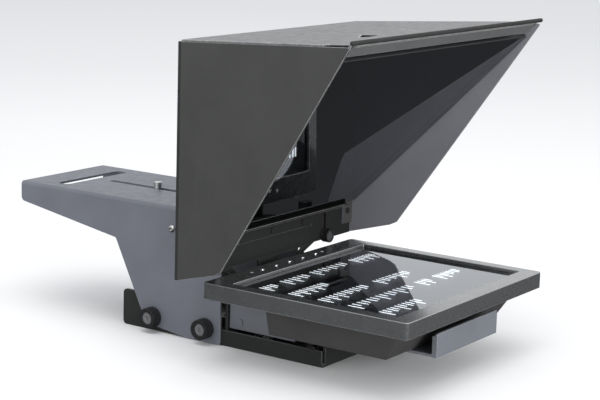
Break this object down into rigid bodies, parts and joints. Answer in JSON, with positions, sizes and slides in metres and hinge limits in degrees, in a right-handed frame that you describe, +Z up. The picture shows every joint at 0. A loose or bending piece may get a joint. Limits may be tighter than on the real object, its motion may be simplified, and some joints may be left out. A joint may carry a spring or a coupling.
{
  "type": "teleprompter",
  "caption": "Camera-mounted teleprompter: flat monitor on a rail, flared metal hood with angled beam-splitter glass, and a sliding camera bracket clamped by knobs.",
  "frame": {"origin": "mouth of the larger tripod bush, in the underside of the base rail", "axes": "+Z up, -Y towards the presenter, +Y towards the camera operator, +X to the right seen from behind the camera looking at the presenter's side (from -Y looking along +Y)"},
  "size_m": [0.259, 0.3825, 0.241],
  "materials": {
    "rail_paint": "dark grey powder coat, fine texture",
    "tray_paint": "blue-grey powder coat, fine texture",
    "bracket_paint": "blue-grey powder coat, fine texture",
    "hood_paint": "warm dark grey powder coat, satin",
    "hood_top_paint": "dark grey powder coat, satin",
    "steel": "zinc-plated steel",
    "black_plastic": "moulded black plastic",
    "rubber": "soft black rubber",
    "foam": "closed-cell foam ring",
    "bezel_plastic": "satin dark silver moulding",
    "housing_plastic": "fine moulded grain",
    "screen_glass": "polished cover glass",
    "lcd": "polarised display panel",
    "diffuser": "white diffuser sheet",
    "circuit_board": "green solder mask",
    "socket_metal": "plated shell",
    "button_silver": "silver-painted caps",
    "coated_glass": "part-mirrored coated glass"
  },
  "bodies": {
    "base": {"base_rail": "rail_paint", "tripod_bush_large": "steel", "tripod_bush_small": "steel", "monitor_tray": "tray_paint", "tray_cheek_left": "tray_paint", "tray_cheek_right": "tray_paint", "cheek_rivets": "tray_paint", "tray_spacers": "black_plastic", "tray_nuts": "steel", "tray_screws": "steel", "tray_pads": "rubber", "rear_housing": "housing_plastic", "bezel": "bezel_plastic", "screen_glass": "screen_glass", "lcd_panel": "lcd", "backlight_unit": "diffuser", "driver_board": "circuit_board", "button_board": "circuit_board", "housing_screws": "steel", "video_socket": "socket_metal", "power_socket": "black_plastic", "status_lights": "button_silver", "hood_post": "rail_paint", "post_screws": "steel", "thumb_nuts": "steel"},
    "bracket": {"camera_bracket": "bracket_paint", "bracket_brace": "bracket_paint", "brace_screws": "steel", "clamp_nuts": "steel"},
    "hood": {"hood_rear_panel": "hood_paint", "hood_left_panel": "hood_paint", "hood_right_panel": "hood_paint", "hood_top_panel": "hood_top_paint", "hood_front_bead": "rubber", "beam_splitter": "coated_glass", "glass_rest_left": "hood_paint", "glass_rest_right": "hood_paint", "glass_ledge": "hood_paint", "lens_seal": "foam", "seal_ring": "hood_paint", "seal_screws": "steel", "hood_rivets": "steel", "hood_rear_trim": "rubber"},
    "thumb_left": {"thumb_screw_left": "black_plastic"},
    "thumb_right": {"thumb_screw_right": "black_plastic"},
    "camera_slider": {"camera_washer": "black_plastic"},
    "camera_screw": {"camera_screw": "steel"},
    "clamp_front_left": {"knob_front_left": "black_plastic", "stud_front_left": "steel"},
    "clamp_front_right": {"knob_front_right": "black_plastic", "stud_front_right": "steel"},
    "clamp_rear_left": {"knob_rear_left": "black_plastic", "stud_rear_left": "steel"},
    "clamp_rear_right": {"knob_rear_right": "black_plastic", "stud_rear_right": "steel"},
    "button_1": {"button_1": "button_silver"},
    "button_2": {"button_2": "button_silver"},
    "button_3": {"button_3": "button_silver"},
    "button_4": {"button_4": "button_silver"},
    "button_5": {"button_5": "button_silver"}
  },
  "joints": [
    {"name": "bracket_slide", "type": "slide", "parent": "base", "child": "bracket", "axis": [0, 1, 0], "range_m": [0, 0.008]},
    {"name": "hood_height", "type": "slide", "parent": "base", "child": "hood", "axis": [0, 0, 1], "range_m": [-0.015, 0]},
    {"name": "clamp_front_left_turn", "type": "hinge", "parent": "bracket", "child": "clamp_front_left", "pos_m": [-0.0495, 0.0082, 0.0113], "axis": [-1, 0, 0], "range_deg": [0, 540]},
    {"name": "clamp_front_right_turn", "type": "hinge", "parent": "bracket", "child": "clamp_front_right", "pos_m": [0.0495, 0.0082, 0.0113], "axis": [1, 0, 0], "range_deg": [0, 540]},
    {"name": "clamp_rear_left_turn", "type": "hinge", "parent": "bracket", "child": "clamp_rear_left", "pos_m": [-0.0495, 0.0576, 0.0113], "axis": [-1, 0, 0], "range_deg": [0, 540]},
    {"name": "clamp_rear_right_turn", "type": "hinge", "parent": "bracket", "child": "clamp_rear_right", "pos_m": [0.0495, 0.0576, 0.0113], "axis": [1, 0, 0], "range_deg": [0, 540]},
    {"name": "thumb_left_turn", "type": "hinge", "parent": "base", "child": "thumb_left", "pos_m": [-0.071, -0.0138, 0.065], "axis": [0, -1, 0], "range_deg": [0, 540]},
    {"name": "thumb_right_turn", "type": "hinge", "parent": "base", "child": "thumb_right", "pos_m": [0.071, -0.0138, 0.065], "axis": [0, -1, 0], "range_deg": [0, 540]},
    {"name": "camera_screw_slide", "type": "slide", "parent": "bracket", "child": "camera_slider", "axis": [0, 1, 0], "range_m": [-0.044, 0.044]},
    {"name": "camera_screw_turn", "type": "hinge", "parent": "camera_slider", "child": "camera_screw", "pos_m": [0, 0.095, 0.09], "axis": [0, 0, -1], "range_deg": [0, 540]},
    {"name": "button_1_press", "type": "slide", "parent": "base", "child": "button_1", "axis": [0, 0, 1], "range_m": [-0.0006, 0], "stiffness_N_per_m": 400},
    {"name": "button_2_press", "type": "slide", "parent": "base", "child": "button_2", "axis": [0, 0, 1], "range_m": [-0.0006, 0], "stiffness_N_per_m": 400},
    {"name": "button_3_press", "type": "slide", "parent": "base", "child": "button_3", "axis": [0, 0, 1], "range_m": [-0.0006, 0], "stiffness_N_per_m": 400},
    {"name": "button_4_press", "type": "slide", "parent": "base", "child": "button_4", "axis": [0, 0, 1], "range_m": [-0.0006, 0], "stiffness_N_per_m": 400},
    {"name": "button_5_press", "type": "slide", "parent": "base", "child": "button_5", "axis": [0, 0, 1], "range_m": [-0.0006, 0], "stiffness_N_per_m": 400}
  ]
}
